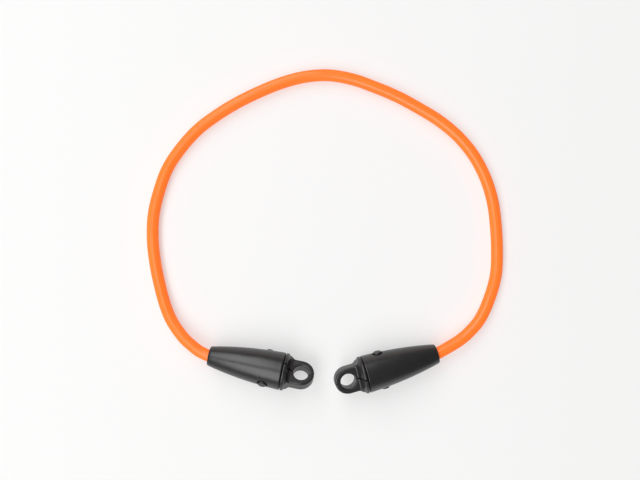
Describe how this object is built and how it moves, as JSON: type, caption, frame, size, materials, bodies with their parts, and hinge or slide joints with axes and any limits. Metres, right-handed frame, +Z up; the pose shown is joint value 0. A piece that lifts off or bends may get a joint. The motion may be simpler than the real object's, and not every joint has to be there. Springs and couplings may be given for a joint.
{
  "type": "bungee cord",
  "caption": "Elastic cord in an orange braided jacket, laid in an open loop, with a black plastic eye terminal on each end that clamps it in barbed jaws under a tapered snap sleeve.",
  "frame": {"origin": "on the surface that it lies on, under the middle of the box round the two end terminals", "axes": "+X from the left terminal to the right one, +Y from the terminals to the closed end of the cord's loop, +Z up"},
  "size_m": [0.2492, 0.2252, 0.027],
  "materials": {
    "sleeve_black": "satin moulded plastic",
    "jaw_black": "matt moulded plastic",
    "braid_orange": "tight braided polyester",
    "rubber_pale": "natural rubber thread"
  },
  "bodies": {
    "left_end": {"left_sleeve": "sleeve_black", "left_jaw_upper": "jaw_black", "left_jaw_lower": "jaw_black", "cord_jacket": "braid_orange", "rubber_thread_1": "rubber_pale", "rubber_thread_2": "rubber_pale", "rubber_thread_3": "rubber_pale", "rubber_thread_4": "rubber_pale", "rubber_thread_5": "rubber_pale", "rubber_thread_6": "rubber_pale", "rubber_thread_7": "rubber_pale", "rubber_thread_8": "rubber_pale", "rubber_thread_9": "rubber_pale"},
    "right_end": {"right_sleeve": "sleeve_black", "right_jaw_upper": "jaw_black", "right_jaw_lower": "jaw_black"},
    "left_latch_up": {"left_latch_upper": "jaw_black"},
    "left_latch_low": {"left_latch_lower": "jaw_black"},
    "right_latch_up": {"right_latch_upper": "jaw_black"},
    "right_latch_low": {"right_latch_lower": "jaw_black"}
  },
  "joints": [
    {"name": "cord_stretch", "type": "slide", "parent": "left_end", "child": "right_end", "axis": [1, 0, 0], "range_m": [0, 0.28], "stiffness_N_per_m": 215, "deforming": ["cord_jacket", "rubber_thread_1", "rubber_thread_2", "rubber_thread_3", "rubber_thread_4", "rubber_thread_5", "rubber_thread_6", "rubber_thread_7", "rubber_thread_8", "rubber_thread_9"]},
    {"name": "left_upper_press", "type": "hinge", "parent": "left_end", "child": "left_latch_up", "pos_m": [-0.05881, -0.00206, 0.01594], "axis": [0.0661, 0.5572, 0.8277], "range_deg": [0, 8.2], "stiffness_Nm_per_rad": 0.5},
    {"name": "left_lower_press", "type": "hinge", "parent": "left_end", "child": "left_latch_low", "pos_m": [-0.05566, 0.01092, 0.00695], "axis": [-0.0661, -0.5572, -0.8277], "range_deg": [0, 8.2], "stiffness_Nm_per_rad": 0.5},
    {"name": "right_upper_press", "type": "hinge", "parent": "right_end", "child": "right_latch_up", "pos_m": [0.05527, 0.01197, 0.01229], "axis": [0.146, -0.1579, 0.9766], "range_deg": [0, 8.2], "stiffness_Nm_per_rad": 0.5},
    {"name": "right_lower_press", "type": "hinge", "parent": "right_end", "child": "right_latch_low", "pos_m": [0.05914, -0.00335, 0.00923], "axis": [-0.146, 0.1579, -0.9766], "range_deg": [0, 8.2], "stiffness_Nm_per_rad": 0.5}
  ]
}
